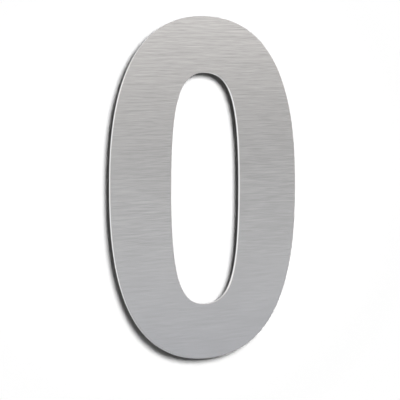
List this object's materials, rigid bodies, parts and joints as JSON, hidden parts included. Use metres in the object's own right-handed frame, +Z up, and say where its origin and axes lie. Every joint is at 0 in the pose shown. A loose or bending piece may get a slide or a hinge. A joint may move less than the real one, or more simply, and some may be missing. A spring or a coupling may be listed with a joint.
{
  "type": "house number",
  "caption": "Flat brushed steel figure 0 for a wall or door, floating on hidden welded studs and stand-off sleeves.",
  "frame": {"origin": "on the wall, at the middle of the four studs, behind the centre of the figure", "axes": "+Y into the wall along the studs, +Z up the figure, +X to the right as seen from the front"},
  "size_m": [0.1182, 0.042, 0.2032],
  "materials": {
    "brushed_face": "stainless sheet, face brushed level, cut edges bright, back as rolled",
    "stud_steel": "rolled thread, bright stainless",
    "sleeve_metal": "turned and satin anodised"
  },
  "bodies": {
    "root": {"numeral_plate": "brushed_face", "weld_studs": "stud_steel", "standoff_sleeves": "sleeve_metal"}
  },
  "joints": []
}
